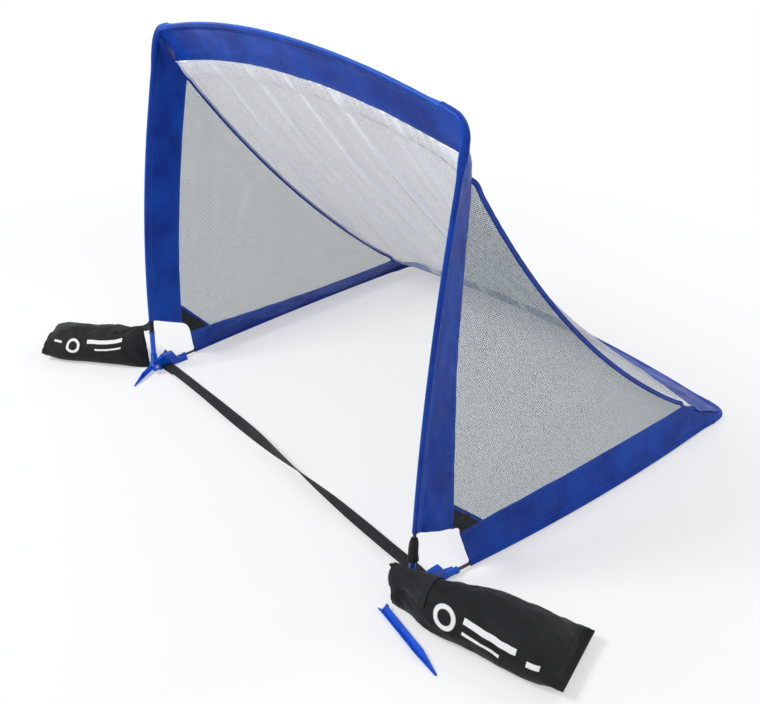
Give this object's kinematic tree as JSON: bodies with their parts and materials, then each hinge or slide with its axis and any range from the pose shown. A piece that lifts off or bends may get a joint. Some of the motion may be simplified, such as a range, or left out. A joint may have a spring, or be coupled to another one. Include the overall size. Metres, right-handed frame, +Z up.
{
  "type": "pop-up training goal",
  "caption": "Free-standing pop-up training goal: cloth-sleeved sprung rod arch that folds back over a U-shaped base, mesh sides and back, mouth strap, sand bags and stakes.",
  "frame": {"origin": "middle of the goal line, on the ground", "axes": "+X along the mouth to the goal's right as seen from the front, +Y towards the back of the goal, +Z up"},
  "size_m": [1.9834, 1.397, 1.071],
  "materials": {
    "rod": "pultruded glass fibre",
    "ferrule": "drawn tube",
    "sleeve_cloth": "coated nylon, slightly glossy",
    "side_mesh": "fine knitted mesh",
    "back_mesh": "fine knitted mesh",
    "binding": "folded nylon tape",
    "socket_plastic": "moulded",
    "pin_steel": "turned",
    "stake_plastic": "moulded",
    "sand": "dry sand",
    "webbing": "woven webbing",
    "bag_cloth": "woven polyester"
  },
  "bodies": {
    "base": {"rear_rod": "rod", "rear_sleeve": "sleeve_cloth", "back_net": "back_mesh", "front_strap": "webbing", "left_base_rod": "rod", "left_rear_ferrule": "ferrule", "left_base_sleeve": "sleeve_cloth", "left_base_socket": "socket_plastic", "left_hinge_pin": "pin_steel", "left_side_net": "side_mesh", "left_hem_binding": "binding", "left_corner_patch": "webbing", "right_base_rod": "rod", "right_rear_ferrule": "ferrule", "right_base_sleeve": "sleeve_cloth", "right_base_socket": "socket_plastic", "right_hinge_pin": "pin_steel", "right_side_net": "side_mesh", "right_hem_binding": "binding", "right_corner_patch": "webbing"},
    "arch": {"crossbar_rod": "rod", "crossbar_sleeve": "sleeve_cloth", "left_post_rod": "rod", "left_top_ferrule": "ferrule", "left_post_sleeve": "sleeve_cloth", "left_post_socket": "socket_plastic", "right_post_rod": "rod", "right_top_ferrule": "ferrule", "right_post_sleeve": "sleeve_cloth", "right_post_socket": "socket_plastic"},
    "left_bag": {"left_bag": "bag_cloth", "left_sand_fill": "sand", "left_bag_flap": "webbing", "left_bag_loop": "webbing"},
    "left_stake": {"left_stake": "stake_plastic"},
    "right_bag": {"right_bag": "bag_cloth", "right_sand_fill": "sand", "right_bag_flap": "webbing", "right_bag_loop": "webbing"},
    "right_stake": {"right_stake": "stake_plastic"}
  },
  "joints": [
    {"name": "arch_fold", "type": "hinge", "parent": "base", "child": "arch", "pos_m": [0, 0.00249, 0.03], "axis": [-1, 0, 0], "range_deg": [0, 76], "stiffness_Nm_per_rad": 4, "springref_deg": -17.19, "deforming": ["back_net", "left_side_net", "right_side_net", "left_hem_binding", "right_hem_binding", "left_corner_patch", "right_corner_patch", "left_post_sleeve", "right_post_sleeve", "left_base_sleeve", "right_base_sleeve", "left_bag_loop", "right_bag_loop"]},
    {"name": "left_bag_swing", "type": "hinge", "parent": "base", "child": "left_bag", "pos_m": [-0.6, 0.012, 0], "axis": [0, 0, 1], "range_deg": [-4, 35], "deforming": ["left_bag_loop"]},
    {"name": "right_bag_swing", "type": "hinge", "parent": "base", "child": "right_bag", "pos_m": [0.6, 0.012, 0], "axis": [0, 0, 1], "range_deg": [-3, 15], "deforming": ["right_bag_loop"]},
    {"name": "left_stake_slide", "type": "slide", "parent": "base", "child": "left_stake", "axis": [0.5373, -0.8434, 0], "range_m": [0, 0.15]},
    {"name": "right_stake_slide", "type": "slide", "parent": "base", "child": "right_stake", "axis": [0.9898, -0.1426, 0], "range_m": [0, 0.15]}
  ]
}
